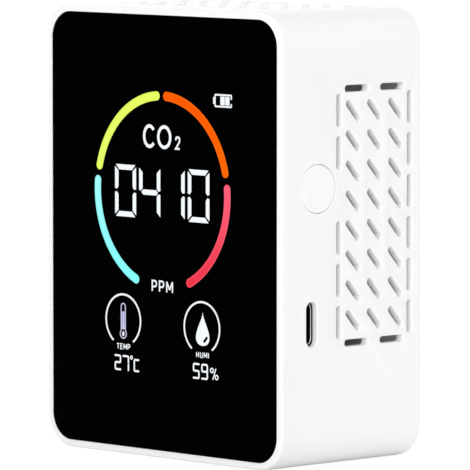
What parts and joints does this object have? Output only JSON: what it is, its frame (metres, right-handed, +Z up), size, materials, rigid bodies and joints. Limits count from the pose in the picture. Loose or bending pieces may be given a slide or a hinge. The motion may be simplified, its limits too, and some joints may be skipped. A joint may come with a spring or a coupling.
{
  "type": "air quality monitor",
  "caption": "Free-standing desktop air quality monitor: white vented box with a black front display panel, a side power button and a USB-C charging socket.",
  "frame": {"origin": "middle of the footprint, on the surface that the body stands on", "axes": "+Z up, -Y out of the front display panel, +X out of the side with the power button and the charging socket"},
  "size_m": [0.07, 0.0396, 0.092],
  "materials": {
    "white_shell": "satin white moulded plastic",
    "white_cap": "satin white moulded plastic",
    "black_lens": "polished black acrylic",
    "black_foam": "adhesive foam",
    "display_glass": "dark display glass",
    "display_light": "lit display segments",
    "white_frame": "moulded plastic",
    "light_guide": "clear acrylic light plate",
    "strip_rubber": "silicone rubber",
    "board_mask": "green solder mask",
    "black_resin": "moulded black resin",
    "socket_steel": "plated steel sheet",
    "screw_steel": "zinc plated",
    "sensor_gold": "gold plated can",
    "filter_cloth": "white membrane",
    "cell_foil": "laminated foil",
    "tape_foam": "foam tape",
    "socket_white": "moulded nylon",
    "lead_red": "wire insulation",
    "lead_black": "wire insulation"
  },
  "bodies": {
    "root": {"front_housing": "white_shell", "rear_cover": "white_shell", "front_lens": "black_lens", "lens_gasket": "black_foam", "lcd_glass": "display_glass", "lcd_frame": "white_frame", "light_plate": "light_guide", "contact_strip": "strip_rubber", "main_board": "board_mask", "switch_body": "black_resin", "usb_shell": "socket_steel", "usb_tongue": "black_resin", "main_chip": "black_resin", "charge_chip": "black_resin", "climate_sensor": "black_resin", "co2_chamber": "sensor_gold", "co2_filter": "filter_cloth", "battery_cell": "cell_foil", "battery_tape": "tape_foam", "battery_socket": "socket_white", "battery_lead_red": "lead_red", "battery_lead_black": "lead_black", "board_screw_1": "screw_steel", "board_screw_2": "screw_steel", "board_screw_3": "screw_steel", "board_screw_4": "screw_steel", "rear_screw_1": "screw_steel", "rear_screw_2": "screw_steel", "rear_screw_3": "screw_steel", "rear_screw_4": "screw_steel"},
    "button": {"power_button": "white_cap", "switch_plunger": "black_resin"}
  },
  "joints": [
    {"name": "power_press", "type": "slide", "parent": "root", "child": "button", "axis": [-1, 0, 0], "range_m": [0, 0.0005], "stiffness_N_per_m": 2000}
  ]
}
